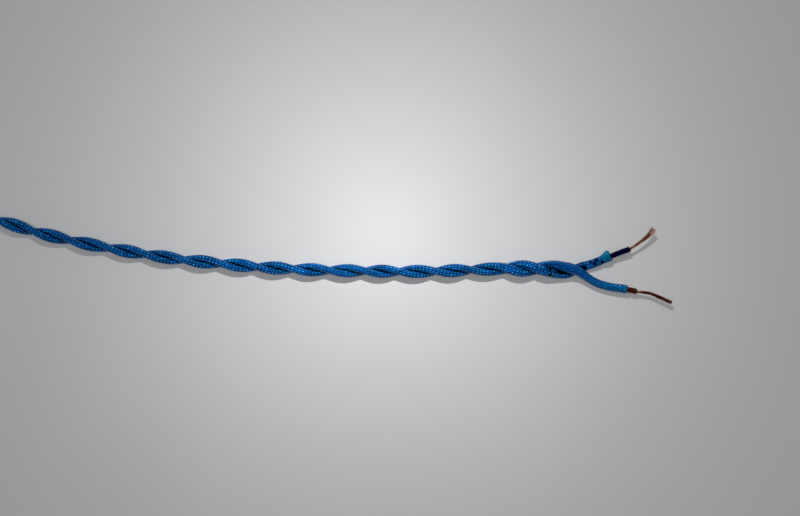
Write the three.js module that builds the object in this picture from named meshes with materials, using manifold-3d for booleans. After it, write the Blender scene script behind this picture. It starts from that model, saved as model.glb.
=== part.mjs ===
// A length of twisted-pair textile lighting flex: two braided cores twisted round each other,
// with both cores parted, stripped and bared at one end, and the spare length tied in a hank.
// Millimetres, +Z up. The flex lies on the plane z = 0 and the hank lies behind it, in line.
import * as THREE from 'three';
import { mergeVertices } from 'three/addons/utils/BufferGeometryUtils.js';
import Module from 'manifold-3d';

// ---- driving dimensions -------------------------------------------------------------------
const CORE_R = 1.45; // real outer radius of one braided core
const SLEEVE_OUT = 1.38; // circumradii of the faceted tubes, a little under the real radii
const SLEEVE_IN = 1.25;
const INSULATION_OUT = 1.18;
const INSULATION_BORE = 0.785;
const CONDUCTOR_R = 0.66;
const HELIX_R = 1.5; // from the pair's axis to a core's axis
const HALF_LAY = 16; // length in which the cores change places
const STEP = 4; // ring spacing along the twisted stretch
const TWISTED_SIDES = 6;
const TAIL_SIDES = 10;
const TAIL_STEP = 3;

const STRAND_R = 0.095; // 24 strands of 0.2 mm make one 0.75 mm2 conductor
const STRAND_SIDES = 4;
const STRAND_LAYERS = [[2, 0.11], [8, 0.33], [14, 0.55]]; // strands in a layer, layer radius
const STRAND_LAY = 30;
const STRAND_STEPS = 12;
const FAN_LIFT = 0.3; // a fanned conductor thickens by this share of what it widens

const HINGE_GAP = 1.3; // clear length at each fork hinge, so that 45 degrees of turn is free

// The fork, where the cores part, is the zero of every route below.
const FORK = [167.8, -5.8];

// Axis of the pair where each core in turn lies on top, from the hank to the fork.
const PAIR_AXIS = [
  [-251.7, 21.1], [-236.3, 16.3], [-220.4, 12.4], [-203.3, 9.0], [-187.0, 6.2], [-170.3, 3.8],
  [-154.0, 2.2], [-138.2, 0.7], [-122.3, -0.2], [-106.5, -0.8], [-90.6, -1.1], [-76.1, -1.3],
  [-59.8, -1.2], [-44.4, -0.6], [-28.2, 0], [-15.8, 0],
];
const ENTRY = [-270.6, 25.3]; // where the pair runs into the hank

// Centreline of each core from its last crossing to the end of its conductor.
const BLUE_TAIL = [
  [-7.5, -2.0, 2.2], [-2.4, -2.3, 1.5], [1.4, -0.5, 1.45], [4.0, 0.7, 1.45], [7.5, 1.6, 1.5],
  [10.6, 2.7, 1.8], [13.2, 3.8, 2.25], [16.3, 5.1, 2.75], [20.9, 7.0, 3.35], [25.3, 8.7, 3.85],
  [28.6, 10.8, 4.2], [31.4, 12.9, 4.4], [33.4, 14.6, 4.5], [36.0, 17.7, 4.6],
];
const BROWN_TAIL = [
  [-8.8, 2.0, 3.3], [-4.0, 1.3, 4.2], [0, 0.2, 4.4], [2.9, -1.4, 4.15], [5.7, -3.4, 3.5],
  [10.6, -6.3, 2.85], [16.7, -8.1, 2.65], [22.4, -8.9, 2.75], [27.9, -10.0, 3.0],
  [31.2, -10.5, 3.2], [34.3, -11.0, 3.4], [36.7, -12.0, 3.5], [40.3, -13.6, 3.7], [43.8, -15.2, 3.8],
];
// Distances along a core, back from the tip of its conductor.
const BLUE = { hinge: 33.2, sleeveEnd: 23.4, insulationEnd: 14.3, fan: 2.0 };
const BROWN = { hinge: 37.8, sleeveEnd: 21.3, insulationEnd: 16.8, fan: 1.25 };

// Hank: its centre, and the outline of the wound pair.
const HANK = [-321.8, 5.8];
const HANK_HALF_RUN = 34;
const HANK_END_R = 23.8;
const HANK_HEIGHT = 17.4;
const HANK_WAIST = 11.6; // half width at the tie
const WAIST_STATIONS = [0.75, 0.5, 0.25, 0, -0.25, -0.5, -0.75]; // shares of the half run
const ENTRY_LENGTH = 16; // the wound pair reaches this far past the run to meet the flex
const ENTRY_DEPTH = 5.8;

// Cable tie round the waist.
const TIE_WIDTH = 3.6;
const TIE_THICK = 1.0;
const TIE_CLEAR = 0.3;
const TIE_HALF_Y = 11.3;
const TIE_TOP = 16.4;
const TIE_HEAD = [5.4, 4.2, 6.0];
const TIE_TAIL = [5.0, 3.4, 0.9]; // length past the head, width, thickness

const CUT_PAST = 1; // solids that are joined or cut reach this far into each other
const WELD = 1e-4; // corners closer than this are one corner
const CURVE_DIVISIONS = 4000; // fineness of the length tables of the curves

const COLOURS = {
  blueSleeve: [0x1f56b4, 0.75, 0],
  brownSleeve: [0x2460bd, 0.75, 0],
  blueInsulation: [0x1a2560, 0.45, 0],
  brownInsulation: [0x4a2214, 0.45, 0],
  copper: [0xc87446, 0.35, 1],
  nylon: [0xe4e1d6, 0.5, 0],
};

// ---- curves -------------------------------------------------------------------------------
const axisCurve = new THREE.CatmullRomCurve3(
  [ENTRY, ...PAIR_AXIS, [0, 0]].map(([x, y]) => new THREE.Vector3(x, y, CORE_R * 2)),
  false,
  'chordal',
);
axisCurve.arcLengthDivisions = CURVE_DIVISIONS;

// How many half turns the pair has made at each named crossing, from the entry on.
function halfTurnsAt(x) {
  const xs = [ENTRY[0], ...PAIR_AXIS.map((p) => p[0]), 0];
  const turns = xs.map((_, i) => i - 1);
  turns[0] = -(PAIR_AXIS[0][0] - ENTRY[0]) / HALF_LAY;
  const i = Math.min(xs.length - 2, Math.max(0, xs.findIndex((_, k) => x < xs[k + 1])));
  return turns[i] + ((x - xs[i]) / (xs[i + 1] - xs[i])) * (turns[i + 1] - turns[i]);
}

// Points of one core: the helix round the pair's axis, then the core's own tail.
function coreCurve(onTopAtFirst, tail) {
  const length = axisCurve.getLength();
  const points = [];
  for (let s = 0; s < length; s += STEP / 2) {
    const p = axisCurve.getPointAt(s / length);
    if (p.x > tail[0][0] - STEP / 2) break;
    const t = axisCurve.getTangentAt(s / length);
    const side = new THREE.Vector3(-t.y, t.x, 0).normalize();
    const angle = Math.PI * (halfTurnsAt(p.x) + (onTopAtFirst ? 0.5 : -0.5));
    p.addScaledVector(side, HELIX_R * Math.cos(angle));
    p.z += HELIX_R * Math.sin(angle);
    points.push(p);
  }
  points.push(...tail.map(([x, y, z]) => new THREE.Vector3(x, y, z)));
  const curve = new THREE.CatmullRomCurve3(points, false, 'chordal');
  curve.arcLengthDivisions = CURVE_DIVISIONS;
  return curve;
}

// Part of a curve between two distances along it.
class Stretch extends THREE.Curve {
  constructor(curve, from, to) {
    super();
    this.curve = curve;
    this.from = from;
    this.to = to;
  }

  getPoint(t, target = new THREE.Vector3()) {
    const s = this.from + (this.to - this.from) * t;
    return target.copy(this.curve.getPointAt(s / this.curve.getLength()));
  }
}

// One strand of a conductor: it winds round the core's centreline and fans out past the insulation.
class Strand extends Stretch {
  constructor(curve, from, to, radius, angle, bareFrom, fan) {
    super(curve, from, to);
    Object.assign(this, { radius, angle, bareFrom, fan });
  }

  getPoint(t, target = new THREE.Vector3()) {
    const s = this.from + (this.to - this.from) * t;
    const u = Math.min(1, s / this.curve.getLength());
    const tangent = this.curve.getTangentAt(u);
    const side = new THREE.Vector3(-tangent.y, tangent.x, 0).normalize();
    const up = new THREE.Vector3().crossVectors(tangent, side);
    const bare = Math.max(0, (s - this.bareFrom) / (this.to - this.bareFrom));
    const turn = this.angle + (2 * Math.PI * (s - this.from)) / STRAND_LAY;
    const spread = 1 + (this.fan - 1) * bare;
    const lift = 1 + (this.fan - 1) * bare * FAN_LIFT;
    return target
      .copy(this.curve.getPointAt(u))
      .addScaledVector(side, this.radius * spread * Math.cos(turn))
      .addScaledVector(up, this.radius * lift * Math.sin(turn));
  }
}

// ---- solids -------------------------------------------------------------------------------
function polygon(radius, sides, shape = new THREE.Shape()) {
  const corners = Array.from({ length: sides }, (_, i) => (2 * Math.PI * (i + 0.5)) / sides);
  shape.setFromPoints(corners.map((a) => new THREE.Vector2(radius * Math.cos(a), radius * Math.sin(a))));
  return shape;
}

function sweep(path, steps, outer, bore, sides) {
  const section = polygon(outer, sides);
  if (bore) section.holes.push(polygon(bore, sides, new THREE.Path()));
  return new THREE.ExtrudeGeometry(section, { steps, extrudePath: path, curveSegments: 1 });
}

function material([color, roughness, metalness]) {
  return new THREE.MeshStandardMaterial({ color, roughness, metalness });
}

function add(parent, name, geometry, look) {
  const mesh = new THREE.Mesh(geometry, material(look));
  mesh.name = name;
  parent.add(mesh);
  return mesh;
}

// The pair as twisted, from the hank to the hinge at the fork: sleeve, insulation, conductor.
function addTwistedCore(parent, colour, curve, ends) {
  const path = new Stretch(curve, 0, curve.getLength() - ends.hinge - HINGE_GAP / 2);
  const steps = Math.round((path.to - path.from) / STEP);
  const tube = (outer, bore) => sweep(path, steps, outer, bore, TWISTED_SIDES);
  add(parent, `${colour}_core_sleeve`, tube(SLEEVE_OUT, SLEEVE_IN), COLOURS[`${colour}Sleeve`]);
  const insulation = tube(INSULATION_OUT, INSULATION_BORE);
  add(parent, `${colour}_core_insulation`, insulation, COLOURS[`${colour}Insulation`]);
  add(parent, `${colour}_core_conductor`, tube(CONDUCTOR_R, 0), COLOURS.copper);
}

// One parted core, from its hinge to the tips of its strands.
function addTail(parent, colour, curve, ends) {
  const length = curve.getLength();
  const from = length - ends.hinge + HINGE_GAP / 2;
  const tube = (to, outer, bore) => {
    const path = new Stretch(curve, from, to);
    return sweep(path, Math.round((to - from) / TAIL_STEP), outer, bore, TAIL_SIDES);
  };
  const sleeve = tube(length - ends.sleeveEnd, SLEEVE_OUT, SLEEVE_IN);
  add(parent, `${colour}_tail_sleeve`, sleeve, COLOURS[`${colour}Sleeve`]);
  const bareFrom = length - ends.insulationEnd;
  const insulation = tube(bareFrom, INSULATION_OUT, INSULATION_BORE);
  add(parent, `${colour}_tail_insulation`, insulation, COLOURS[`${colour}Insulation`]);
  let number = 1;
  for (const [count, radius] of STRAND_LAYERS) {
    for (let i = 0; i < count; i += 1) {
      const angle = (2 * Math.PI * (i + 0.5)) / count;
      const path = new Strand(curve, from, length, radius, angle, bareFrom, ends.fan);
      const wire = sweep(path, STRAND_STEPS, STRAND_R, 0, STRAND_SIDES);
      add(parent, `${colour}_strand_${String(number).padStart(2, '0')}`, wire, COLOURS.copper);
      number += 1;
    }
  }
}

// Outline of the hank seen from above: two drawn-in runs between round ends, and the entry.
function hankOutline() {
  const shape = new THREE.Shape();
  const entryAngle = Math.asin((HANK_END_R - ENTRY_DEPTH) / HANK_END_R);
  const draw = HANK_END_R - HANK_WAIST;
  const waistY = (x) => HANK_END_R - (draw * (1 + Math.cos((Math.PI * x) / HANK_HALF_RUN))) / 2;
  shape.moveTo(HANK_HALF_RUN + ENTRY_LENGTH, HANK_END_R - ENTRY_DEPTH);
  shape.absarc(HANK_HALF_RUN, 0, HANK_END_R, entryAngle, -Math.PI / 2, true);
  const stations = WAIST_STATIONS.map((share) => share * HANK_HALF_RUN);
  for (const x of stations) shape.lineTo(x, -waistY(x));
  shape.absarc(-HANK_HALF_RUN, 0, HANK_END_R, -Math.PI / 2, Math.PI / 2, true);
  for (const x of stations.reverse()) shape.lineTo(x, waistY(x));
  shape.lineTo(HANK_HALF_RUN, HANK_END_R);
  shape.lineTo(HANK_HALF_RUN + ENTRY_LENGTH, HANK_END_R);
  return shape;
}

function box(x, y, z, from) {
  return new THREE.BoxGeometry(x, y, z).translate(from[0] + x / 2, from[1] + y / 2, from[2] + z / 2);
}

const wasm = await Module();
wasm.setup();

function toSolid(geometry) {
  const bare = geometry.clone();
  bare.deleteAttribute('normal');
  bare.deleteAttribute('uv');
  const merged = mergeVertices(bare, WELD);
  const vertProperties = new Float32Array(merged.attributes.position.array);
  const triVerts = new Uint32Array(merged.index.array);
  return new wasm.Manifold(new wasm.Mesh({ numProp: 3, vertProperties, triVerts }));
}

function toGeometry(solid) {
  const { vertProperties, triVerts } = solid.getMesh();
  const geometry = new THREE.BufferGeometry();
  geometry.setAttribute('position', new THREE.BufferAttribute(vertProperties, 3));
  geometry.setIndex(new THREE.BufferAttribute(triVerts, 1));
  geometry.computeVertexNormals();
  return geometry;
}

// A rectangular band round the waist. Its hole is given as [half width in Y, bottom, top].
function band(width, hole, thick) {
  const [halfY, low, high] = hole;
  const from = [-width / 2, -halfY - thick, low - thick];
  const outside = toSolid(box(width, 2 * (halfY + thick), high - low + 2 * thick, from));
  const cutFrom = [-width / 2 - CUT_PAST, -halfY, low];
  return outside.subtract(toSolid(box(width + 2 * CUT_PAST, 2 * halfY, high - low, cutFrom)));
}

function addHank(parent) {
  const wound = new THREE.ExtrudeGeometry(hankOutline(), {
    depth: HANK_HEIGHT,
    bevelEnabled: false,
    curveSegments: 10,
  });
  const groove = [TIE_HALF_Y, TIE_THICK + TIE_CLEAR, TIE_TOP];
  const slot = band(TIE_HEAD[0] + 2 * TIE_CLEAR, groove, HANK_END_R);
  add(parent, 'hank', toGeometry(toSolid(wound).subtract(slot)), COLOURS.blueSleeve);

  const tie = band(TIE_WIDTH, [TIE_HALF_Y + TIE_CLEAR, TIE_THICK, TIE_TOP + TIE_CLEAR], TIE_THICK);
  const headY = -(TIE_HALF_Y + TIE_CLEAR + TIE_THICK / 2);
  const headZ = HANK_HEIGHT / 2 - TIE_HEAD[2] / 2;
  const head = toSolid(box(...TIE_HEAD, [-TIE_HEAD[0] / 2, headY - TIE_HEAD[1], headZ]));
  const [tailLength, tailWidth, tailThick] = TIE_TAIL;
  const tailFrom = [-tailWidth / 2, headY - TIE_HEAD[1] - tailLength, HANK_HEIGHT / 2 - tailThick / 2];
  const tail = toSolid(box(tailWidth, tailLength + CUT_PAST, tailThick, tailFrom));
  add(parent, 'hank_tie', toGeometry(tie.add(head).add(tail)), COLOURS.nylon);
}

// ---- assembly -----------------------------------------------------------------------------
const flex = new THREE.Group();
flex.name = 'twisted_flex';
const placed = new THREE.Group();
placed.position.set(FORK[0], FORK[1], 0);
flex.add(placed);

const blueCurve = coreCurve(false, BLUE_TAIL);
const brownCurve = coreCurve(true, BROWN_TAIL);
addTwistedCore(placed, 'blue', blueCurve, BLUE);
addTwistedCore(placed, 'brown', brownCurve, BROWN);
addTail(placed, 'blue', blueCurve, BLUE);
addTail(placed, 'brown', brownCurve, BROWN);

const hank = new THREE.Group();
hank.position.set(HANK[0], HANK[1], 0);
placed.add(hank);
addHank(hank);

flex.updateMatrixWorld(true);
export default flex;
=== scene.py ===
"""Looks of a twisted-pair textile flex: a hank at one end, and two parted, stripped cores at the other."""

import math

import bmesh
import bpy
import numpy as np
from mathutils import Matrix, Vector


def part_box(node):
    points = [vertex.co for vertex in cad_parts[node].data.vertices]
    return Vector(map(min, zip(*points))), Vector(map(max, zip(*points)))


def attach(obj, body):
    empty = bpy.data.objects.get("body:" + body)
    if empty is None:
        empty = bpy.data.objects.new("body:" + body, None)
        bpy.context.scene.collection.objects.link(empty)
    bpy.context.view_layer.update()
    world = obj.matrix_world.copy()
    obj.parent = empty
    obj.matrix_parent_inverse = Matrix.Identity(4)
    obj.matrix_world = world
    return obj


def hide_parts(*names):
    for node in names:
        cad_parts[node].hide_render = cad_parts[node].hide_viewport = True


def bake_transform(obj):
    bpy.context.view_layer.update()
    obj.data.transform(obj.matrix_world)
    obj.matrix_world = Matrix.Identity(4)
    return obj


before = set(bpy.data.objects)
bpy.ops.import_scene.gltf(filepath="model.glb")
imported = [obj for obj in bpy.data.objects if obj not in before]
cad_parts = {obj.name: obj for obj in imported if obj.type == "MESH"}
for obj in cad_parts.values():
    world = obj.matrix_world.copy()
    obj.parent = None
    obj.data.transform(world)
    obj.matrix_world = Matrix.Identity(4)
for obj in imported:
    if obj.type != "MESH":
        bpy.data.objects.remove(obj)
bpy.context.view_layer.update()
random = np.random.default_rng(11)

# ---- sizes, in millimetres; every mesh is scaled to metres when it is made -------------------
MM = 0.001
CORE_R = 1.47  # mean outer radius of one braided core
HELIX_R = 1.43  # from the pair's axis to a core's axis
HALF_LAY = 16.0  # length in which the cores change places
SLACK = 0.3  # by which the twist loosens before the fork
SLACK_FROM = -36.0  # x where that begins
PAIR_R = 2.9  # outer radius of the twisted pair
INSULATION_R = 1.2
BORE_R = 0.68  # of the insulation
STRAND_R = 0.1
STRAND_LAYERS = ((2, 0.11), (8, 0.33), (14, 0.55))  # strands in a layer, and its radius
BRAID_YARNS = 8  # carriers that run each way round
BRAID_PITCH = 12.0  # length of one turn of a carrier
FINE = 0.26  # between the points of a core's centreline
STRAND_SPACING = 0.45  # between the points of a strand

# ---- route, repeated from the CAD source; the fork, where the cores part, is its zero ----------
# The first points of both tails are moved from there by up to 0.4 mm, because the braid is loose and wide here.
FORK = (167.8, -5.8)
PAIR_AXIS = (
    (-251.7, 21.1), (-236.3, 16.3), (-220.4, 12.4), (-203.3, 9.0), (-187.0, 6.2), (-170.3, 3.8),
    (-154.0, 2.2), (-138.2, 0.7), (-122.3, -0.2), (-106.5, -0.8), (-90.6, -1.1), (-76.1, -1.3),
    (-59.8, -1.2), (-44.4, -0.6), (-28.2, 0.0), (-15.8, 0.0),
)  # where each core in turn lies on top
BLUE_TAIL = (
    (-7.5, -2.3, 2.2), (-2.4, -2.3, 1.6), (1.4, -0.5, 1.45), (4.0, 0.7, 1.45), (7.5, 1.6, 1.5),
    (10.6, 2.7, 1.8), (13.2, 3.8, 2.25), (16.3, 5.1, 2.75), (20.9, 7.0, 3.35), (25.3, 8.7, 3.85),
    (28.6, 10.8, 4.2), (31.4, 12.9, 4.4), (33.4, 14.6, 4.5), (36.0, 17.7, 4.6),
)
BROWN_TAIL = (
    (-8.8, 1.6, 3.4), (-4.0, 0.9, 4.3), (0, -0.2, 4.5), (2.9, -1.4, 4.15), (5.7, -3.4, 3.5),
    (10.6, -6.3, 2.85), (16.7, -8.1, 2.65), (22.4, -8.9, 2.75), (27.9, -10.0, 3.0),
    (31.2, -10.5, 3.2), (34.3, -11.0, 3.4), (36.7, -12.0, 3.5), (40.3, -13.6, 3.7), (43.8, -15.2, 3.8),
)
HANK_EXIT = (-270.6, 25.3)  # a point of the route between the hank and the first crossing
HANK = (-321.8, 5.8)  # centre of the hank
HALF_RUN = 34.0  # from the hank's centre to where its end loops start
LANE_R = (15.1, 20.9)  # radius of the inner and the outer lane round an end loop
LANE_WAIST = (2.75, 8.3)  # and their distance from the middle under the tie
LAYER = 5.8  # height of one layer of turns
WAIST_FLOOR, WAIST_LAYER = 3.9, 5.15  # the tie lifts the turns and squeezes them
TURNS = ((1, 0), (0, 0), (0, 1), (1, 1), (1, 2), (0, 2))  # lane and layer of each turn, from the entry
CHANGE_START, CHANGE_STEP = 0.09, 0.16  # where turns change lane or layer, in shares of the right-hand side
CHANGE_LENGTH = 0.18  # and over which share of it
FAR_END_X = 9.0  # the last turn stops this far past the tie
HANK_SPACING = 0.5  # between the points of the hank's axis
HANK_SHARED = 40  # of those points that the smooth curve out of the hank takes over


# ---- curves ------------------------------------------------------------------------------------
def resample(line, spacing):
    """The line again, with points evenly spaced along it."""
    along = distances(line)
    count = max(2, int(round(along[-1] / spacing)) + 1)
    at = np.linspace(0, along[-1], count)
    return np.stack([np.interp(at, along, line[:, k]) for k in range(3)], axis=1)


def distances(line):
    """How far along the line each of its points is."""
    return np.concatenate([[0], np.cumsum(np.linalg.norm(np.diff(line, axis=0), axis=1))])


def smooth_curve(points, spacing=0.2):
    """A chordal Catmull-Rom curve through points, evenly sampled."""
    p = np.array(points, float)
    p = np.vstack([2 * p[0] - p[1], p, 2 * p[-1] - p[-2]])
    out = []
    for a, b, c, d in zip(p[:-3], p[1:-2], p[2:-1], p[3:], strict=True):
        t0, t1, t2 = (float(np.linalg.norm(y - x)) for x, y in ((a, b), (b, c), (c, d)))
        m1 = ((b - a) / t0 - (c - a) / (t0 + t1) + (c - b) / t1) * t1
        m2 = ((c - b) / t1 - (d - b) / (t1 + t2) + (d - c) / t2) * t1
        u = np.linspace(0, 1, max(3, int(t1 / spacing) + 2))[:-1, None]
        h1, h2 = 2 * u**3 - 3 * u**2 + 1, -2 * u**3 + 3 * u**2
        out.append(h1 * b + h2 * c + (u**3 - 2 * u**2 + u) * m1 + (u**3 - u**2) * m2)
    return resample(np.vstack([*out, p[-2]]), spacing)


def smoothstep(x):
    x = np.clip(x, 0, 1)
    return x * x * (3 - 2 * x)


def softened(line, length, spacing):
    """The line with its corners rounded over about that length. Its ends stay where they are."""
    half = max(1, int(length / spacing / 2))
    kernel = np.hanning(2 * half + 3)[1:-1]
    kernel /= kernel.sum()
    ends = [2 * line[0] - line[half:0:-1], line, 2 * line[-1] - line[-2 : -half - 2 : -1]]
    padded = np.vstack(ends)
    return np.stack([np.convolve(padded[:, k], kernel, "valid") for k in range(3)], axis=1)


def hank_axis():
    """The pair's axis in the hank, from its entry to the flex's far end: six turns, two lanes wide and three
    layers high. Lane and layer change on the way round the right-hand loop, the topmost turn first, so that
    no turn meets another."""
    line = []
    right_length = 2 * HALF_RUN + math.pi * sum(LANE_R) / 2

    def place(x, side, lane, layer):
        """A point of a run: side is 1 on the run with the greater y."""
        waist = (1 + math.cos(math.pi * min(1, abs(x) / HALF_RUN))) / 2
        y = (LANE_R[0] + lane * (LANE_R[1] - LANE_R[0])) * (1 - waist)
        y += (LANE_WAIST[0] + lane * (LANE_WAIST[1] - LANE_WAIST[0])) * waist
        z = (PAIR_R + LAYER * layer) * (1 - waist) + (WAIST_FLOOR + WAIST_LAYER * layer) * waist
        return [x, side * y, z]

    def loop(end, angle, lane, layer):
        """A point of an end loop: end is 1 on the right and -1 on the left."""
        radius = LANE_R[0] + lane * (LANE_R[1] - LANE_R[0])
        return [end * HALF_RUN + radius * math.cos(angle), radius * math.sin(angle), PAIR_R + LAYER * layer]

    def on_turn(turn, along):
        """Lane and layer on the right-hand side, along from the lower waist to the upper one."""
        (lane, layer), (next_lane, next_layer) = TURNS[turn], TURNS[turn + 1]
        start = (CHANGE_START + CHANGE_STEP * (len(TURNS) - 2 - turn)) * right_length
        done = float(smoothstep((along - start) / (CHANGE_LENGTH * right_length)))
        return lane + (next_lane - lane) * done, layer + (next_layer - layer) * done

    steps = int(HALF_RUN / HANK_SPACING)
    arc = int(math.pi * sum(LANE_R) / 2 / HANK_SPACING)
    for turn, (lane, layer) in enumerate(TURNS):
        before = turn - 1
        for i in range(steps):  # upper run, right half
            x = HALF_RUN * (1 - i / steps)
            here = on_turn(before, right_length - x) if turn else (lane, layer)
            line.append(place(x, 1, *here))
        line += [place(-HALF_RUN * i / steps, 1, lane, layer) for i in range(steps)]
        line += [loop(-1, math.pi / 2 + math.pi * i / arc, lane, layer) for i in range(arc)]
        line += [place(-HALF_RUN * (1 - i / steps), -1, lane, layer) for i in range(steps)]
        if turn == len(TURNS) - 1:
            last = int(FAR_END_X / HANK_SPACING)
            line += [place(i * HANK_SPACING, -1, lane, layer) for i in range(last)]
            break
        for i in range(steps):  # lower run, right half
            x = HALF_RUN * i / steps
            line.append(place(x, -1, *on_turn(turn, x)))
        for i in range(arc):
            here = on_turn(turn, HALF_RUN + i / arc * (right_length - 2 * HALF_RUN))
            line.append(loop(1, -math.pi / 2 + math.pi * i / arc, *here))
    return np.array(line) + [HANK[0], HANK[1], 0]


def pair_axis():
    """The pair's axis from the flex's far end, through the hank, to the fork, and where its crossings are."""
    wound = hank_axis()[::-1]
    laid = [(x, y, 2 * HELIX_R) for x, y in (HANK_EXIT, *PAIR_AXIS, (0, 0))]
    bridge = smooth_curve([*wound[-HANK_SHARED:-4:12], wound[-1], *laid])
    line = resample(np.vstack([wound[:-HANK_SHARED], bridge]), FINE)
    line = softened(line, 5, FINE)
    crossings = [int(np.argmin(np.abs(line[:, 0] - x))) for x, _, _ in laid[1:]]
    return line, crossings


def half_turns(line, crossings):
    """How many half turns the pair has made at each point, counted from the first crossing."""
    along = distances(line)
    known = along[crossings]
    turns = np.interp(along, known, np.arange(len(known)))
    before = along < known[0]
    turns[before] = (along[before] - known[0]) / HALF_LAY
    rate = np.gradient(turns, along)
    half = 20  # points on either side that a rate is averaged over
    kernel = np.hanning(2 * half + 1)
    rate = np.convolve(np.pad(rate, half, "edge"), kernel / kernel.sum(), "valid")
    smooth = np.concatenate([[0], np.cumsum((rate[1:] + rate[:-1]) / 2 * np.diff(along))])
    return smooth - smooth[crossings[0]]


def core_line(axis, turns, on_top_first, tail):
    """One core's centreline: the helix round the pair's axis, then its own tail."""
    tangent = np.gradient(axis, axis=0)
    side = np.stack([-tangent[:, 1], tangent[:, 0], np.zeros(len(axis))], axis=1)
    side /= np.linalg.norm(side, axis=1)[:, None]
    up = np.cross(tangent / np.linalg.norm(tangent, axis=1)[:, None], side)
    angle = math.pi * (turns + (0.5 if on_top_first else -0.5))
    slack = SLACK * smoothstep((axis[:, 0] - SLACK_FROM) / 10)
    radius = (HELIX_R + slack)[:, None]
    helix = axis + radius * (np.cos(angle)[:, None] * side + np.sin(angle)[:, None] * up)
    helix[:, 2] += slack
    every = int(2 / FINE)  # the helix's last points, about 2 mm apart, and the tail's make one curve
    stop = int(np.argmax(axis[:, 0] > tail[0][0] - 2))
    start = stop - 6 * every
    line = np.vstack([helix[:start], smooth_curve([*helix[start:stop:every], *tail])])
    return softened(resample(line, FINE), 2.0, FINE) + [FORK[0], FORK[1], 0]


def frames_along(line):
    """Two directions square to the line at each of its points, which turn about it as little as they can."""
    tangent = np.gradient(line, axis=0)
    tangent /= np.linalg.norm(tangent, axis=1)[:, None]
    normal = np.zeros_like(line)
    n = np.cross(tangent[0], [0, 0, 1.0])
    normal[0] = n / np.linalg.norm(n)
    for i in range(1, len(line)):
        n = normal[i - 1] - tangent[i] * float(normal[i - 1] @ tangent[i])
        normal[i] = n / math.sqrt(float(n @ n))
    return normal, np.cross(tangent, normal), tangent


# ---- meshes ------------------------------------------------------------------------------------
class Shell:
    """A mesh in the making: rings of points joined into tubes, with a UV map in the piece's own pattern."""

    def __init__(self):
        self.points, self.faces, self.uvs, self.marks, self.drawn = [], [], [], [], []
        self.count = 0

    def rings(self, rings, u, v, marks=None, drawn=None, flip=False):
        """Joins rings, an array of ring by side by 3. u has one value more than a ring has sides. A mark above
        0 darkens the braid: at real snags, and as painted shade in the groove where the two cores meet. One
                             below
        0 is a bleached place, and on copper the mark is how bright it is. drawn, a value for each ring, is how
        tightly the braid is drawn out, from 0 to 1. Returns the index of the first point."""
        n, m = rings.shape[:2]
        first = self.count
        self.points.append(rings.reshape(-1, 3))
        self.marks.append(np.zeros(n * m) if marks is None else np.asarray(marks, float).reshape(-1))
        self.drawn.append(np.zeros(n * m) if drawn is None else np.repeat(drawn, m))
        self.count += n * m
        i, j = np.meshgrid(np.arange(n - 1), np.arange(m), indexing="ij")
        i, j = i.ravel(), j.ravel()
        k = (j + 1) % m
        quads = np.stack([i * m + j, i * m + k, (i + 1) * m + k, (i + 1) * m + j], axis=1) + first
        uv = np.stack([u[j], v[i], u[j + 1], v[i], u[j + 1], v[i + 1], u[j], v[i + 1]], axis=1)
        uv = uv.reshape(-1, 4, 2)
        if flip:
            quads, uv = quads[:, ::-1], uv[:, ::-1]
        self.faces += quads.tolist()
        self.uvs.append(uv.reshape(-1, 2))
        return first

    def bridge(self, a, b, m, v):
        """A strip of faces between the ring that starts at index a and the one at b."""
        j = np.arange(m)
        k = (j + 1) % m
        self.faces += np.stack([a + j, a + k, b + k, b + j], axis=1).tolist()
        uv = np.stack([j, j * 0 + v, j + 1, j * 0 + v, j + 1, j * 0 + v, j, j * 0 + v], axis=1)
        self.uvs.append(uv.reshape(-1, 2) * [BRAID_YARNS / m, 1])

    def cap(self, first, m, v, flip=False):
        """One face across a ring."""
        face = list(range(first, first + m))
        self.faces.append(face[::-1] if flip else face)
        self.uvs.append(np.tile([0.5, v], (m, 1)))

    def to_object(self, name, look):
        mesh = bpy.data.meshes.new(name)
        points = np.vstack(self.points) * MM
        points[:, 2] = np.maximum(points[:, 2], 0.00001)  # it lies on the floor
        mesh.from_pydata(points.tolist(), [], self.faces)
        layer = mesh.uv_layers.new(name="pattern")
        layer.data.foreach_set("uv", np.vstack(self.uvs).astype(np.float32).ravel())
        for attribute, values in (("mark", self.marks), ("drawn", self.drawn)):
            data = mesh.attributes.new(attribute, "FLOAT", "POINT").data
            data.foreach_set("value", np.concatenate(values).astype(np.float32))
        mesh.polygons.foreach_set("use_smooth", np.ones(len(mesh.polygons), bool))
        mesh.materials.append(look)
        mesh.update()
        thing = bpy.data.objects.new(name, mesh)
        bpy.context.scene.collection.objects.link(thing)
        return thing


def circle(sides):
    angle = np.arange(sides) * 2 * math.pi / sides
    return np.cos(angle), np.sin(angle)


def ring_points(line, normal, binormal, radius):
    """Rings of radius, an array of ring by side, round the line."""
    cos, sin = circle(radius.shape[1])
    out = cos[None, :, None] * normal[:, None, :] + sin[None, :, None] * binormal[:, None, :]
    return line[:, None, :] + radius[:, :, None] * out


def braid_height(u, v):
    """Height of the braid's surface, from about -1 to 1: two families of rounded yarns, which pass over and
    under in turn."""
    a, b = u + v, u - v
    over = 1 - 2 * np.mod(np.floor(a) + np.floor(b), 2)
    fa, fb = a - np.floor(a) - 0.5, b - np.floor(b) - 0.5
    crown_a, crown_b = (np.sqrt(np.clip(1 - (1.9 * f) ** 2, 0, 1)) for f in (fa, fb))
    ha = crown_a + 0.7 * over * np.cos(math.pi * fb)
    hb = crown_b - 0.7 * over * np.cos(math.pi * fa)
    return np.maximum(ha, hb) - 0.9


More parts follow.
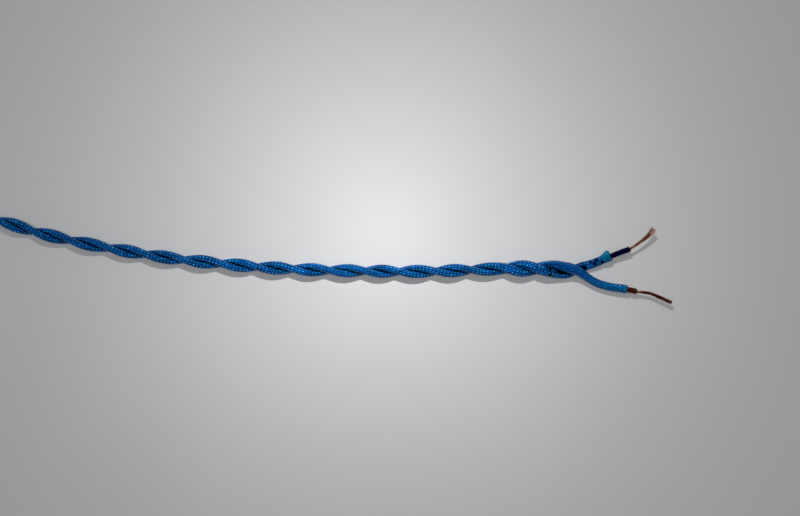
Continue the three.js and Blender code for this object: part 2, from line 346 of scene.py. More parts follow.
# ---- the braided sleeve --------------------------------------------------------------------------
SLEEVE_SIDES = 40
YARN_RELIEF = 0.085
DRAWN_LOSS = 0.7  # share of its relief that a drawn-out braid loses
WALL = 0.13  # under the bottoms of the yarns
WOUND_UP_X = FORK[0] - 262  # to the left of this the flex is wound up, and its rings are half as close
SAG_REACH = 4.9  # cores whose axes are further apart than this don't touch
MOST_SAG = 0.7  # a loose braid sags no further toward the other core
HALF_GAP = 0.012  # left on either side of the plane where two cores touch
SIDEWAYS = 0.35  # how much a loose braid spreads sideways where it is pressed
PRESS_WINDOW = 10.0  # the other core's nearest point is no further along than this
SNAG_DEPTH = 0.2


def pressed(core, other, index, radius, loose):
    """Where the two cores touch, both are flattened and meet in a plane, and a loose braid spreads sideways.
    Where they part, it still sags across the gap. Gives the new radii, and how far into the groove where the
    cores meet each point is, from 0 to 1, which is painted on the braid as shade."""
    line, normal, binormal, _ = core
    cos, sin = circle(radius.shape[1])
    window = int(PRESS_WINDOW / FINE)
    painted_groove_shade = np.zeros_like(radius)
    for row, i in enumerate(index):
        low = min(max(0, i - window), len(other) - 2)
        gap = other[low : i + window + 1] - line[i]
        k = int(np.argmin((gap * gap).sum(axis=1)))
        reach = math.sqrt(float(gap[k] @ gap[k]))
        if reach > SAG_REACH:
            continue
        toward = cos * float(gap[k] @ normal[i]) / reach + sin * float(gap[k] @ binormal[i]) / reach
        limit = (reach / 2 - HALF_GAP) / np.maximum(toward, 0.3)
        touching = smoothstep((SAG_REACH - reach) / 0.8)
        radius[row] *= 1 + SIDEWAYS * loose[row] * (1 - toward**2) ** 2 * touching
        sag = smoothstep((toward - 0.4) / 0.4) * smoothstep((SAG_REACH - reach) / 0.3)
        wide = radius[row] + sag * np.clip(reach / 2 - radius[row], 0, MOST_SAG)
        # painted shade: the braid is painted darker in the groove between the cores, where shade falls
        painted_shade_share = smoothstep((toward - 0.54 + 0.25 * loose[row]) / 0.2)
        painted_groove_shade[row] = painted_shade_share * smoothstep((SAG_REACH - reach) / 0.6)
        radius[row] = np.where(toward > 0.3, np.minimum(wide, limit), radius[row])
    return radius, painted_groove_shade


def sleeve(core, other, facts):
    """The braid over one core, from the far end to its cut end near the tip, as a shell with a wall."""
    line, normal, binormal, tangent = core
    along = distances(line)
    end = int(np.searchsorted(along, along[-1] - facts["sleeve_end"]))
    wound_up = line[:, 0] < WOUND_UP_X
    index = [i for i in range(end + 1) if not wound_up[i] or i % 2 == 0]
    if index[-1] != end:
        index.append(end)
    index = np.array(index)
    s = along[index]
    to_end = s[-1] - s
    angle = np.arange(SLEEVE_SIDES + 1) / SLEEVE_SIDES
    u = angle * BRAID_YARNS
    pitch = BRAID_PITCH * facts["stretch"](to_end)
    v = np.concatenate([[0], np.cumsum(2 * np.diff(s) / (pitch[1:] + pitch[:-1]))]) * BRAID_YARNS
    height = braid_height(u[None, :-1], v[:, None])
    lean = np.array(facts["lean"])
    lean_angle = math.atan2(float(lean @ binormal[end]), float(lean @ normal[end]))
    facing = (0.5 + 0.5 * np.cos(angle[:-1] * 2 * math.pi - lean_angle)) ** 1.4
    loose, cuff = facts["flare"](to_end)
    base = CORE_R + loose[:, None] + cuff[:, None] * facing[None, :]
    drawn = facts["drawn"](to_end)
    radius = base + YARN_RELIEF * (1 - DRAWN_LOSS * drawn[:, None]) * height
    mark = np.zeros_like(radius)
    for back, turn, size in facts["snags"]:
        from_lean = np.mod(angle[:-1] - lean_angle / (2 * math.pi) - turn + 0.5, 1) - 0.5
        across = from_lean * 2 * math.pi * CORE_R
        hole = np.exp(-((to_end[:, None] - back) ** 2 + (across[None, :] * 0.8) ** 2) / size**2)
        radius -= SNAG_DEPTH * hole
        mark = np.maximum(mark, np.clip(1.7 * hole, 0, 1))
    radius, painted_groove_shade = pressed(core, other, index, radius, loose)
    # the groove's painted shade darkens the braid through its mark
    mark = np.maximum(mark, 0.9 * painted_groove_shade)
    worn = np.clip(facts["worn"](to_end)[:, None] * (0.35 + 0.65 * facing[None, :]), 0, 1)
    ragged = 0.12 * np.sin(angle[:-1] * 2 * math.pi * BRAID_YARNS)
    ragged += 0.08 * random.standard_normal(SLEEVE_SIDES)
    rings = ring_points(line[index], normal[index], binormal[index], radius)
    rings[-1] += ragged[:, None] * tangent[index[-1]]
    shell = Shell()
    outer = shell.rings(rings, u, v, mark - worn, drawn)

    keep = np.unique(np.concatenate([np.arange(0, len(index), 8), np.arange(len(index) - 16, len(index))]))
    within = index[keep]
    bore = np.minimum(radius, base)[keep] - WALL
    wall_rings = ring_points(line[within], normal[within], binormal[within], bore)
    wall_rings[-1] += (ragged - 0.08)[:, None] * tangent[index[-1]]
    inner = shell.rings(wall_rings, u, v[keep], flip=True)
    shell.bridge(inner, outer, SLEEVE_SIDES, v[0])
    last_outer = outer + (len(index) - 1) * SLEEVE_SIDES
    last_inner = inner + (len(keep) - 1) * SLEEVE_SIDES
    shell.bridge(last_outer, last_inner, SLEEVE_SIDES, v[-1])
    mouth = float(np.mean(radius[-1]))
    add_filaments(shell, core, end, mouth, facts["fray"], 0.55)
    return shell, line[: end + 1]


def add_filaments(shell, core, i, radius, count, longest):
    """Cut ends of the braid's filaments, which stand out of the sleeve's mouth."""
    line, normal, binormal, tangent = core
    sides = 5
    cos, sin = circle(sides)
    for _ in range(count):
        angle = random.uniform(0, 2 * math.pi)
        out = math.cos(angle) * normal[i] + math.sin(angle) * binormal[i]
        start = line[i] + out * (radius - random.uniform(0.02, 0.12)) - tangent[i] * 0.5
        lean = out * random.uniform(0.0, 0.9) + tangent[i] + random.normal(0, 0.25, 3)
        lean[2] = abs(lean[2])
        lean /= np.linalg.norm(lean)
        length = random.uniform(0.4, 1.0) * longest
        t = np.linspace(0, 1, 6)[:, None]
        curl = np.cross(lean, random.normal(0, 1, 3))
        points = start + lean * t * length + curl * (t**2) * random.uniform(-0.25, 0.25)
        n, b, _ = frames_along(points)
        width = 0.035 * (1 - 0.6 * t[:, 0])[:, None] * np.ones((1, sides))
        rings = ring_points(points, n, b, width)
        uv = np.linspace(0.4, 0.6, sides + 1)
        first = shell.rings(rings, uv, t[:, 0] * 0.3)
        shell.cap(first, sides, 0, flip=True)
        shell.cap(first + 5 * sides, sides, 0.3)


# ---- insulation and conductor ----------------------------------------------------------------------
def pick(along, stations):
    return np.unique(np.searchsorted(along, stations).clip(0, len(along) - 1))


def insulation(core, tip_length, sides=24):
    """The plastic tube between the braid and the conductor, with softened edges at its cut ends."""
    line, normal, binormal, _ = core
    along = distances(line)
    end = along[-1] - tip_length
    fine_from = end - 22
    stations = np.concatenate([np.arange(0, fine_from, 3.0), np.arange(fine_from, end, 0.4), [end]])
    index = pick(along, stations)
    s = along[index]
    edge = np.minimum(s - s[0], s[-1] - s)
    wobble = 0.012 * np.sin(s * 1.9) + 0.01 * np.sin(s * 0.83 + 1)
    outer_r = INSULATION_R - 0.1 * np.exp(-edge / 0.12) + wobble
    bore_r = np.full(len(s), BORE_R) + 0.05 * np.exp(-edge / 0.12)
    u = np.linspace(0, BRAID_YARNS, sides + 1)
    v = s / BRAID_PITCH * BRAID_YARNS
    shell = Shell()
    ones = np.ones((1, sides))
    where = line[index], normal[index], binormal[index]
    outer = shell.rings(ring_points(*where, outer_r[:, None] * ones), u, v)
    bore = shell.rings(ring_points(*where, bore_r[:, None] * ones), u, v, flip=True)
    shell.bridge(bore, outer, sides, v[0])
    last = (len(index) - 1) * sides
    shell.bridge(outer + last, bore + last, sides, v[-1])
    return shell


def strand_line(core, start, stop, radius, angle, lay, spread, lift):
    """Centreline of one strand, which winds round the core's centreline. spread and lift widen and heighten
    the bundle."""
    line, _, _, tangent = core
    along = distances(line)
    s = np.arange(start, stop, STRAND_SPACING)
    centre = np.stack([np.interp(s, along, line[:, k]) for k in range(3)], axis=1)
    t = np.stack([np.interp(s, along, tangent[:, k]) for k in range(3)], axis=1)
    side = np.stack([-t[:, 1], t[:, 0], np.zeros(len(t))], axis=1)
    side /= np.linalg.norm(side, axis=1)[:, None]
    up = np.cross(t, side)
    turn = angle + 2 * math.pi * (s - start) / lay
    out = (s - start) / (stop - start)
    sideways = radius * spread(out) * np.cos(turn)
    upward = radius * lift(out) * np.sin(turn)
    return centre + sideways[:, None] * side + upward[:, None] * up


def add_wire(shell, points, bright=0.0, sides=8):
    """One strand. bright is how bright its copper's colour is at each point, from 0 to 1."""
    n, b, _ = frames_along(points)
    rings = ring_points(points, n, b, np.full((len(points), sides), STRAND_R))
    v = distances(points)
    marks = np.repeat(np.broadcast_to(bright, len(points)), sides)
    first = shell.rings(rings, np.linspace(0, 1, sides + 1), v, marks)
    shell.cap(first, sides, 0, flip=True)
    shell.cap(first + (len(points) - 1) * sides, sides, v[-1])


def conductor(core, facts):
    """The stranded conductor: a bar inside the insulation, and 24 strands where it is bare, at both ends."""
    line, normal, binormal, _ = core
    along = distances(line)
    shell = Shell()
    bare_from = along[-1] - facts["insulation_end"] - 3
    index = pick(along, np.arange(2.0, bare_from + 0.5, 3.0))
    sides = 10
    bar = np.full((len(index), sides), 0.6)
    v = along[index]
    bar_rings = ring_points(line[index], normal[index], binormal[index], bar)
    first = shell.rings(bar_rings, np.linspace(0, 1, sides + 1), v)
    shell.cap(first, sides, 0, flip=True)
    shell.cap(first + (len(index) - 1) * sides, sides, v[-1])
    for count, radius in STRAND_LAYERS:
        for i in range(count):
            angle = 2 * math.pi * (i + 0.5) / count + random.normal(0, 0.04)
            cut = random.uniform(0, facts["uneven"])
            stop = along[-1] - cut
            shape = facts["lay"], facts["spread"], facts["lift"]
            points = strand_line(core, bare_from, stop, radius, angle, *shape)
            out = np.linspace(0, 1, len(points))
            add_wire(shell, points, facts["bright"](out) * random.uniform(0.4, 1.0))
            far_end = strand_line(core, 0.02, 2.4, radius, angle, facts["lay"], np.ones_like, np.ones_like)
            add_wire(shell, far_end)
    return shell


# ---- the cable tie -----------------------------------------------------------------------------------
def soft_box(size, centre, bevel):
    """A box with rounded edges, as a bmesh."""
    part = bmesh.new()
    bmesh.ops.create_cube(part, size=1)
    bmesh.ops.scale(part, vec=Vector(size), verts=part.verts)
    bmesh.ops.bevel(part, geom=part.edges[:], offset=bevel, segments=3, affect="EDGES", profile=0.6)
    bmesh.ops.translate(part, vec=Vector(centre), verts=part.verts)
    return part


def joined(parts, name, look):
    mesh = bpy.data.meshes.new(name)
    whole = bmesh.new()
    for part in parts:
        piece = bpy.data.meshes.new("piece")
        part.to_mesh(piece)
        part.free()
        whole.from_mesh(piece)
        bpy.data.meshes.remove(piece)
    bmesh.ops.scale(whole, vec=Vector((MM, MM, MM)), verts=whole.verts)
    bmesh.ops.recalc_face_normals(whole, faces=whole.faces[:])
    whole.to_mesh(mesh)
    whole.free()
    mesh.materials.append(look)
    mesh.polygons.foreach_set("use_smooth", np.ones(len(mesh.polygons), bool))
    thing = bpy.data.objects.new(name, mesh)
    bpy.context.scene.collection.objects.link(thing)
    return thing


def tie_band(x, half_y, low, high, width, thick, corner):
    """The strap's loop: a rounded rectangle of a flat section, as a bmesh."""
    half_section = [(-0.5, 0.12), (-0.42, 0), (0.42, 0), (0.5, 0.12)]
    section = half_section + [(-across, 1 - out) for across, out in half_section]
    corners = (
        (half_y - corner, low + corner, -90), (half_y - corner, high - corner, 0),
        (-half_y + corner, high - corner, 90), (-half_y + corner, low + corner, 180),
    )
    places = []
    for cy, cz, from_degrees in corners:
        for k in range(9):
            a = math.radians(from_degrees + 90 * k / 8)
            places.append((cy + corner * math.cos(a), cz + corner * math.sin(a), math.cos(a), math.sin(a)))
    band = bmesh.new()
    rings = [
        [band.verts.new((x + sx * width, y + ny * st * thick, z + nz * st * thick)) for sx, st in section]
        for y, z, ny, nz in places
    ]
    for i, ring in enumerate(rings):
        after = rings[(i + 1) % len(rings)]
        for j in range(len(section)):
            k = (j + 1) % len(section)
            band.faces.new((ring[j], ring[k], after[k], after[j]))
    return band


def hank_tie(look):
    """A small cable tie round the hank's waist: strap, head with slot and pawl, and trimmed tail with teeth."""
    low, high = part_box("hank_tie")
    x = (low.x + high.x) / 2 / MM
    middle = FORK[1] + HANK[1]
    half_y, thick = 11.35, 1.0
    top, bottom = 17.25, 1.0
    head_z = (top + bottom) / 2
    parts = [tie_band(x, half_y + middle, bottom, top, 3.6, thick, 2.6)]
    out = middle - half_y
    head, wall = (5.4, 3.9, 5.2), 1.05
    for side in (-1, 1):  # the head is a frame round the slot
        cheek_x = x + side * (head[0] - wall) / 2
        parts.append(soft_box((wall, head[1], head[2]), (cheek_x, out - 2.1, head_z), 0.28))
        parts.append(soft_box((head[0], head[1], 1.5), (x, out - 2.1, head_z + side * 2.0), 0.3))
    parts.append(soft_box((2.6, 1.9, 0.8), (x, out - 2.6, head_z + 0.95), 0.15))
    parts.append(soft_box((3.2, 9.2, 0.85), (x, out - 4.7, head_z - 0.1), 0.15))
    for k in range(5):
        parts.append(soft_box((2.3, 0.35, 0.25), (x, out - 5.0 - k * 0.85, head_z + 0.42), 0.08))
    return joined(parts, "cable_tie", look)


# ---- materials -------------------------------------------------------------------------------------
class Nodes:
    """A short hand for building a material's node tree."""

    def __init__(self, name):
        self.material = bpy.data.materials.new(name)
        self.material.use_nodes = True
        self.tree = self.material.node_tree
        self.shader = self.tree.nodes["Principled BSDF"]

    def new(self, kind, **settings):
        node = self.tree.nodes.new(kind)
        for key, value in settings.items():
            setattr(node, key, value)
        return node

    def link(self, source, target):
        self.tree.links.new(source, target)

    def math(self, operation, *inputs, clamp=False):
        node = self.new("ShaderNodeMath", operation=operation, use_clamp=clamp)
        for socket, value in zip(node.inputs, inputs):
            if isinstance(value, (int, float)):
                socket.default_value = value
            else:
                self.link(value, socket)
        return node.outputs[0]

    def ramp(self, source, *stops):
        node = self.new("ShaderNodeValToRGB")
        elements = node.color_ramp.elements
        while len(elements) < len(stops):
            elements.new(0.5)
        for element, (place, colour) in zip(elements, stops, strict=True):
            element.position = place
            element.color = (*colour, 1)
        self.link(source, node.inputs[0])
        return node.outputs[0]

    def mix(self, factor, a, b, blend="MIX"):
        node = self.new("ShaderNodeMix", data_type="RGBA", blend_type=blend)
        for socket, value in ((node.inputs[0], factor), (node.inputs[6], a), (node.inputs[7], b)):
            if isinstance(value, (int, float)):
                socket.default_value = value
            elif isinstance(value, tuple):
                socket.default_value = (*value, 1)
            else:
                self.link(value, socket)
        return node.outputs[2]

    def noise(self, scale, detail=2.0, vector=None, rough=0.5):
        node = self.new("ShaderNodeTexNoise")
        node.inputs["Scale"].default_value = scale
        node.inputs["Detail"].default_value = detail
        node.inputs["Roughness"].default_value = rough
        self.link(vector or self.new("ShaderNodeTexCoord").outputs["Object"], node.inputs["Vector"])
        return node.outputs["Fac"]

    def streaks(self, stretch, scale, detail):
        """Noise along the piece's own pattern, which is stretched by that much round the piece and along it."""
        stretched = self.new("ShaderNodeMapping")
        stretched.inputs["Scale"].default_value = (*stretch, 1)
        self.link(self.new("ShaderNodeUVMap", uv_map="pattern").outputs[0], stretched.inputs["Vector"])
        return self.noise(scale, detail, stretched.outputs[0])

    def attribute(self, name):
        return self.new("ShaderNodeAttribute", attribute_name=name).outputs["Fac"]

    def bump(self, height, strength, distance):
        node = self.new("ShaderNodeBump")
        node.inputs["Strength"].default_value = strength
        node.inputs["Distance"].default_value = distance
        self.link(height, node.inputs["Height"])
        self.link(node.outputs["Normal"], self.shader.inputs["Normal"])

    def set(self, **values):
        for key, value in values.items():
            self.shader.inputs[key.replace("_", " ")].default_value = value


def weave(n):
    """The braid's yarns, from the pattern's UV map: how high a place is, 1 where the family with the painted
    highlight is on top, the wave of the filaments across a yarn, and a random value for each yarn's stretch on
    top."""
    pattern = n.new("ShaderNodeSeparateXYZ")
    n.link(n.new("ShaderNodeUVMap", uv_map="pattern").outputs[0], pattern.inputs[0])
    u, v = pattern.outputs[0], pattern.outputs[1]
    a, b = n.math("ADD", u, v), n.math("SUBTRACT", u, v)
    floor_a, floor_b = n.math("FLOOR", a), n.math("FLOOR", b)
    under = n.math("FLOORED_MODULO", n.math("ADD", floor_a, floor_b), 2.0)
    over = n.math("SUBTRACT", 1.0, under)
    fa = n.math("SUBTRACT", n.math("FRACT", a), 0.5)
    fb = n.math("SUBTRACT", n.math("FRACT", b), 0.5)
    across = n.math("ADD", n.math("MULTIPLY", fa, over), n.math("MULTIPLY", fb, under))
    along = n.math("ADD", n.math("MULTIPLY", fb, over), n.math("MULTIPLY", fa, under))
    crown = n.math("SUBTRACT", 1.0, n.math("MULTIPLY", n.math("MULTIPLY", across, across), 4.0))
    crown = n.math("POWER", n.math("MAXIMUM", crown, 0.0), 0.6)
    arch = n.math("COSINE", n.math("MULTIPLY", along, math.pi))
    height = n.math("MULTIPLY", crown, arch, clamp=True)
    filament = n.math("SINE", n.math("ADD", n.math("MULTIPLY", across, 38.0), n.math("MULTIPLY", along, 3.0)))
    ids = n.new("ShaderNodeCombineXYZ")
    n.link(n.math("FLOORED_MODULO", floor_a, BRAID_YARNS), ids.inputs[0])
    n.link(n.math("FLOORED_MODULO", floor_b, BRAID_YARNS), ids.inputs[1])
    n.link(n.math("SUBTRACT", floor_a, floor_b), ids.inputs[2])
    yarn = n.new("ShaderNodeTexWhiteNoise", noise_dimensions="3D")
    n.link(ids.outputs[0], yarn.inputs["Vector"])
    return height, over, filament, yarn.outputs["Value"]


def braid_look():
    """Glossy viscose yarns: a dark blue ground that is painted shade in the gaps between the yarns, paler
    crowns with a painted highlight on those of one family, fine filaments and small changes of tone.
    """
    n = Nodes("blue_viscose_braid")
    height, over, filament, chance = weave(n)
    # painted shade: the colour at the bottom of the gaps between the yarns
    painted_gap_shade = (0.0, 0.003, 0.025)
    # painted highlight: the crowns of one family of yarns are painted pale cyan, as if they caught the light
    painted_glint_ramp = n.ramp(
        height,
        (0.0, painted_gap_shade), (0.42, (0.0003, 0.052, 0.35)), (0.7, (0.002, 0.22, 0.64)), (1.0, (0.04, 0.58, 0.76)),
    )
    plain = n.ramp(
        height,
        (0.0, painted_gap_shade), (0.45, (0.0002, 0.034, 0.26)), (0.8, (0.001, 0.092, 0.52)), (1.0, (0.003, 0.19, 0.62)),
    )
    colour = n.mix(over, plain, painted_glint_ramp)
    tone = n.math("MULTIPLY_ADD", n.math("POWER", chance, 2.0), 0.8, 0.76)
    drift = n.math("MULTIPLY_ADD", n.noise(60.0, 3.0), 0.6, 0.7)
    lines = n.math("MAXIMUM", n.math("MULTIPLY_ADD", n.streaks((3.2, 0.22), 1.0, 2.0), 3.4, -0.7), 0.35)
    threads = n.math("MULTIPLY_ADD", filament, 0.12, 1.0)
    shade = n.math("MULTIPLY", n.math("MULTIPLY", tone, drift), n.math("MULTIPLY", threads, lines))
    grey = n.new("ShaderNodeCombineColor")
    for socket in grey.inputs[:3]:
        n.link(shade, socket)
    colour = n.mix(1.0, colour, grey.outputs[0], "MULTIPLY")
    smooth = n.ramp(
        n.streaks((1.35, 0.09), 1.0, 2.0),
        (0.33, (0.0002, 0.012, 0.1)), (0.5, (0.0008, 0.07, 0.32)), (0.64, (0.006, 0.25, 0.52)),
    )
    colour = n.mix(n.math("MULTIPLY", n.attribute("drawn"), 0.85), colour, smooth)
    mark = n.attribute("mark")
    worn = n.math("MULTIPLY", mark, -0.85, clamp=True)
    faded = n.math("MULTIPLY", height, lines)
    bleached = n.ramp(faded, (0.15, (0.0, 0.04, 0.2)), (0.75, (0.002, 0.36, 0.55)))
    colour = n.mix(worn, colour, bleached)
    # The mark darkens the colour to nearly black: at snags, and as painted shade in the groove between the
    # cores.
    colour = n.mix(n.math("MULTIPLY", mark, 1.15, clamp=True), colour, (0.0003, 0.001, 0.006))
    n.link(colour, n.shader.inputs["Base Color"])
    dulled = n.math("MULTIPLY_ADD", n.math("MAXIMUM", mark, 0.0), 0.6, 0.33)
    n.link(dulled, n.shader.inputs["Roughness"])
    n.set(Specular_IOR_Level=0.26, Specular_Tint=(0.12, 0.75, 1.0, 1))
    n.bump(n.math("MULTIPLY_ADD", filament, 0.18, height), 0.7, 0.00012)
    return n.material


def plastic_look(name, dark, light, rough):
    """Extruded PVC: nearly even colour, faint lines along it and a satin gloss."""
    n = Nodes(name)
    lines = n.streaks((6, 0.35), 3.0, 3.0)
    mottle = n.noise(900.0, 2.0)
    tone = n.math("MULTIPLY", lines, n.math("ADD", mottle, 0.5))
    n.link(n.ramp(tone, (0.25, dark), (0.75, light)), n.shader.inputs["Base Color"])
    n.link(n.math("MULTIPLY_ADD", mottle, 0.18, rough - 0.09), n.shader.inputs["Roughness"])
    n.set(Specular_IOR_Level=0.2, Specular_Tint=(*light, 1))
    n.bump(n.math("MULTIPLY_ADD", mottle, 0.5, lines), 0.25, 0.00004)
    return n.material


def copper_look():
    """Drawn copper wire: brighter in colour where the mark is high, with fine grain and browner patches where
    it was handled.
    """
    n = Nodes("copper")
    patch = n.noise(420.0, 4.0)
    fine = n.noise(5200.0, 2.0)
    colour = n.ramp(patch, (0.3, (0.16, 0.04, 0.02)), (0.55, (0.32, 0.1, 0.055)), (0.8, (0.55, 0.27, 0.2)))
    n.link(n.mix(n.attribute("mark"), colour, (0.9, 0.58, 0.47)), n.shader.inputs["Base Color"])
    n.link(n.math("MULTIPLY_ADD", fine, 0.25, 0.2), n.shader.inputs["Roughness"])
    n.set(Metallic=1.0)
    n.bump(fine, 0.2, 0.00002)
    return n.material


def nylon_look():
    """Natural nylon, slightly translucent, with the faint grain of its mould."""
    n = Nodes("natural_nylon")
    grain = n.noise(1400.0, 3.0)
    n.link(n.ramp(grain, (0.3, (0.66, 0.64, 0.56)), (0.7, (0.78, 0.76, 0.69))), n.shader.inputs["Base Color"])
    n.link(n.math("MULTIPLY_ADD", grain, 0.2, 0.35), n.shader.inputs["Roughness"])
    n.set(Subsurface_Weight=0.25, Subsurface_Scale=0.002)
    n.bump(grain, 0.15, 0.00005)
    return n.material


def floor_look():
    """A matt, almost even pale grey."""
    n = Nodes("pale_floor")
    tone = n.ramp(n.noise(9.0, 2.0), (0.3, (0.79, 0.79, 0.79)), (0.7, (0.81, 0.81, 0.81)))
    n.link(tone, n.shader.inputs["Base Color"])
    n.set(Roughness=0.95, Specular_IOR_Level=0.1)
    return n.material


# ---- stage: camera, floor and light --------------------------------------------------------------------
VIEW_WIDTH = 352.0  # of the floor that the camera sees
VIEW_CENTRE = (FORK[0] - 75.7, FORK[1] + 4.6)
LENS = 100.0
SENSOR = 36.0
POOL = (FORK[0] - 82.3, FORK[1] + 15.0)  # middle of the pool of light in the picture
HANK_POOL = (FORK[0] + HANK[0] - 21.0, FORK[1] + HANK[1])  # and of the one round the hank
ELEVATION = 55.0  # degrees of both pool lights above the floor
REACH = 1.6  # metres from a pool's middle to its light


def add_camera():
    """A camera straight above the seen part."""
    data = bpy.data.cameras.new("camera")
    data.lens, data.sensor_width = LENS, SENSOR
    data.clip_start, data.clip_end = 0.01, 20
    camera = bpy.data.objects.new("camera", data)
    height = VIEW_WIDTH * MM * LENS / SENSOR
    camera.location = (VIEW_CENTRE[0] * MM, VIEW_CENTRE[1] * MM, height)
    bpy.context.scene.collection.objects.link(camera)
    bpy.context.scene.camera = camera


def add_floor():
    mesh = bpy.data.meshes.new("floor")
    half = 4.0
    corners = [(-half, -half, 0), (half, -half, 0), (half, half, 0), (-half, half, 0)]
    mesh.from_pydata(corners, [], [(0, 1, 2, 3)])
    mesh.materials.append(floor_look())
    floor = bpy.data.objects.new("floor", mesh)
    bpy.context.scene.collection.objects.link(floor)


def add_pool_light(name, centre, power, radius, fading):
    """A small hard light from +Y, whose pool on the floor is round rather than oval and fades outwards."""
    data = bpy.data.lights.new(name, "SPOT")
    data.energy, data.shadow_soft_size = power, 0.008
    data.spot_size, data.spot_blend = math.radians(40), 0.2
    data.use_nodes = True
    tree = data.node_tree
    emission = tree.nodes["Emission"]

    def maths(operation, *inputs):
        node = tree.nodes.new("ShaderNodeMath")
        node.operation = operation
        for socket, value in zip(node.inputs, inputs):
            if isinstance(value, (int, float)):
                socket.default_value = value
            else:
                tree.links.new(value, socket)
        return node.outputs[0]

    axes = tree.nodes.new("ShaderNodeSeparateXYZ")
    tree.links.new(tree.nodes.new("ShaderNodeTexCoord").outputs["Normal"], axes.inputs[0])
    across = maths("DIVIDE", axes.outputs[0], axes.outputs[2])
    upward = maths("DIVIDE", axes.outputs[1], axes.outputs[2])
    upward = maths("DIVIDE", upward, math.sin(math.radians(ELEVATION)))
    squared = maths("ADD", maths("MULTIPLY", across, across), maths("MULTIPLY", upward, upward))
    share = maths("DIVIDE", maths("SQRT", squared), radius * MM / REACH)
    fade = maths("EXPONENT", maths("MULTIPLY", maths("POWER", share, fading), -1.0))
    tree.links.new(fade, emission.inputs["Strength"])
    light = bpy.data.objects.new(name, data)
    up = math.radians(ELEVATION)
    target = Vector((centre[0] * MM, centre[1] * MM, 0))
    away = Vector((-0.16, math.cos(up), math.sin(up))).normalized()  # a little from the left
    light.location = target + away * REACH
    light.rotation_mode = "QUATERNION"
    light.rotation_quaternion = (-away).to_track_quat("-Z", "Y")
    bpy.context.scene.collection.objects.link(light)


def add_overhead_light():
    """Even light from straight above, which leaves nothing dark beside the flex."""
    data = bpy.data.lights.new("overhead", "SUN")
    data.energy, data.angle = 0.7, math.radians(12)
    light = bpy.data.objects.new("overhead", data)
    light.location = (0, 0, 1)
    light.visible_glossy = False
    bpy.context.scene.collection.objects.link(light)


def add_world():
    """Faint even light from all round, which keeps the shadows soft in tone."""
    world = bpy.data.worlds.new("studio")
    world.use_nodes = True
    background = world.node_tree.nodes["Background"]
    background.inputs[0].default_value = (1, 1, 1, 1)
    background.inputs[1].default_value = 0.105
    bpy.context.scene.world = world


add_camera()
add_floor()
add_world()
add_pool_light("key", POOL, 89.0, 101.0, 1.25)
add_pool_light("hank_light", HANK_POOL, 55.0, 62.0, 3.0)
add_overhead_light()
bpy.context.scene.view_settings.view_transform = "Standard"

# ---- how the two stripped ends differ -------------------------------------------------------------------
# back is the distance back from the sleeve's end, in millimetres, and t runs from 0 to 1 along a bare strand.
def blue_flare(back):
    """Extra radius of the blue sleeve, by the distance back from its end: all round, and more on the side that
    stands up in rucks."""
    loose = 0.38 * smoothstep((56 - back) / 10) + 0.14 * np.exp(-(((back - 29.5) / 5) ** 2))
    loose += 0.1 * np.exp(-(((back - 9) / 4) ** 2))
    loose -= 0.12 * smoothstep((1.2 - back) / 1.2)
    rucks = 0.16 * np.cos(back * 2 * math.pi / 1.1) * smoothstep((3.9 - back) / 0.8)
    return loose, rucks + 1.2 * smoothstep((4.8 - back) / 4.2)


def brown_flare(back):
    """Extra radius of the brown sleeve: loosened, and a little wider at its mouth."""
    loose = 0.38 * smoothstep((64 - back) / 10) - 0.1 * smoothstep((26 - back) / 8)
    loose += 0.14 * np.exp(-(((back - 46.5) / 5) ** 2)) + 0.14 * np.exp(-(((back - 30) / 5) ** 2))
    return loose, 0.12 * smoothstep((1.5 - back) / 1.5)


def blue_stretch(back):
    """How many times longer than usual the braid's turns are."""
    return 1 - 0.35 * smoothstep((3.8 - back) / 1.0)


def brown_stretch(back):
    """The same for the brown core, whose braid is drawn out near the fork."""
    return 1 + 1.2 * smoothstep((42 - back) / 8) - 0.9 * smoothstep((11 - back) / 6)


def blue_drawn(back):
    """How tightly the braid is drawn out, so that its yarns lie nearly lengthwise, from 0 to 1."""
    return 0.7 * smoothstep((22 - back) / 5) * smoothstep((back - 8.5) / 3)


def brown_drawn(back):
    """The same for the brown core, over the whole of its last turn."""
    return 0.95 * smoothstep((44 - back) / 8) * smoothstep((back - 4.5) / 6)


def blue_worn(back):
    """How bleached the braid is, from 0 to 1: the whole cuff."""
    return 0.95 * smoothstep((3.7 - back) / 0.5) + 0.25 * smoothstep((9 - back) / 4)


def brown_worn(back):
    """How bleached the braid is, from 0 to 1: a little, towards its mouth."""
    return 0.4 * smoothstep((12 - back) / 9) + 0.35 * smoothstep((1.6 - back) / 1.2)


def blue_spread(t):
    """How far apart the strands are, beside 1 for strands that touch: they fan out sideways."""
    return 0.74 + 1.6 * np.clip((t - 0.25) / 0.75, 0, 1) ** 2.0


def blue_lift(t):
    """The same upwards, where the fan is thinner."""
    return 0.74 + 0.55 * np.clip((t - 0.25) / 0.75, 0, 1) ** 2.0


def blue_bright(t):
    """How bright the copper is, from 0 to 1: the fan's tips."""
    return smoothstep((t - 0.72) / 0.2)


def brown_bright(t):
    """How bright the copper is, from 0 to 1: just outside the insulation."""
    return np.exp(-(((t - 0.2) / 0.07) ** 2))


def brown_spread(t):
    """How far apart the strands are: twisted tight, and a little looser at the tip."""
    return 1.02 + 0.25 * smoothstep((t - 0.3) / 0.5)


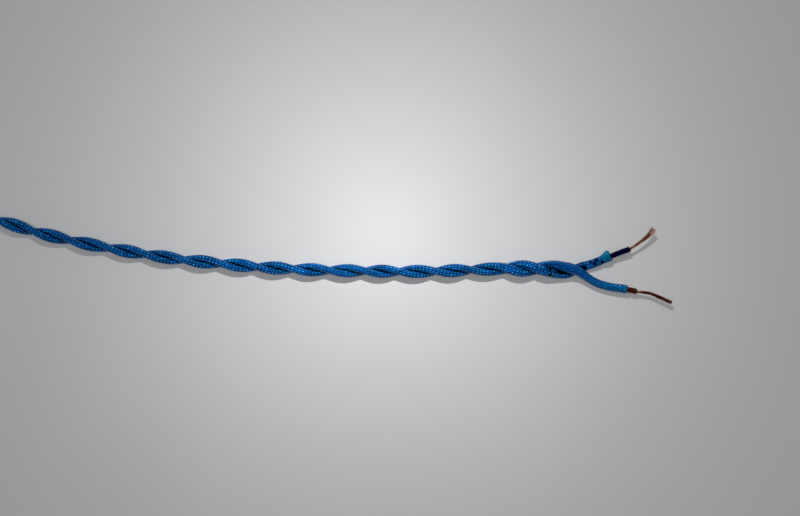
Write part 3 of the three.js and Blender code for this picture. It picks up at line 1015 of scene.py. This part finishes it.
CORES = {
    "blue": {
        "on_top_first": False,
        "tail": BLUE_TAIL,
        "sleeve_end": 23.4,  # from the strands' tips
        "insulation_end": 14.3,
        "flare": blue_flare,
        "worn": blue_worn,
        "stretch": blue_stretch,
        "drawn": blue_drawn,
        "lean": (-0.3, 0.9, 0.3),  # the side of the cuff that stands up
        "snags": (  # back from the sleeve's end, turn from the lean, radius
            (4.4, 0.42, 0.8), (4.2, 0.3, 0.7), (6.4, 0.12, 0.8), (7.6, 0.22, 0.6), (9.2, 0.1, 0.5),
            (31.3, 0.06, 0.55), (30.0, 0.14, 0.5), (29.4, 0.32, 0.5),
        ),
        "fray": 60,
        "plastic": plastic_look("navy_pvc", (0.0006, 0.0012, 0.014), (0.002, 0.003, 0.045), 0.4),
        "lay": 26.0,  # of the strands
        "spread": blue_spread,
        "lift": blue_lift,
        "bright": blue_bright,
        "uneven": 1.0,  # between the longest and the shortest strand
    },
    "brown": {
        "on_top_first": True,
        "tail": BROWN_TAIL,
        "sleeve_end": 21.3,
        "insulation_end": 16.8,
        "flare": brown_flare,
        "worn": brown_worn,
        "stretch": brown_stretch,
        "drawn": brown_drawn,
        "lean": (0.0, -0.7, 0.7),
        "snags": ((2.6, 0.45, 0.4),),
        "fray": 26,
        "plastic": plastic_look("brown_pvc", (0.03, 0.006, 0.003), (0.1, 0.02, 0.012), 0.38),
        "lay": 13.0,
        "spread": brown_spread,
        "lift": brown_spread,
        "bright": brown_bright,
        "uneven": 0.35,
    },
}


braid = braid_look()
copper = copper_look()


def bend_at_fork(piece):
    """Bakes the piece's placement into its mesh."""
    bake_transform(piece)


def add_core(colour, facts, core, other):
    """One whole core: its braided sleeve, its insulation and its conductor."""
    shell, path = sleeve(core, other, facts)
    cover = shell.to_object(f"{colour}_sleeve", braid)
    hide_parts("hank", f"{colour}_core_sleeve", f"{colour}_tail_sleeve")

    tube = insulation(core, facts["insulation_end"]).to_object(f"{colour}_insulation", facts["plastic"])
    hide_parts(f"{colour}_core_insulation", f"{colour}_tail_insulation")

    wires = conductor(core, facts).to_object(f"{colour}_conductor", copper)
    strands = [f"{colour}_strand_{i:02d}" for i in range(1, 25)]
    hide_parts(f"{colour}_core_conductor", *strands)

    for piece in (cover, tube, wires):
        bend_at_fork(piece)


axis, crossings = pair_axis()
turns = half_turns(axis, crossings)
lines = {c: core_line(axis, turns, f["on_top_first"], f["tail"]) for c, f in CORES.items()}
for colour, facts in CORES.items():
    other = lines["brown" if colour == "blue" else "blue"]
    add_core(colour, facts, (lines[colour], *frames_along(lines[colour])), other)

tie = hank_tie(nylon_look())
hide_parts("hank_tie")
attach(tie, "flex")
print("pair length", round(float(distances(axis)[-1]), 1))
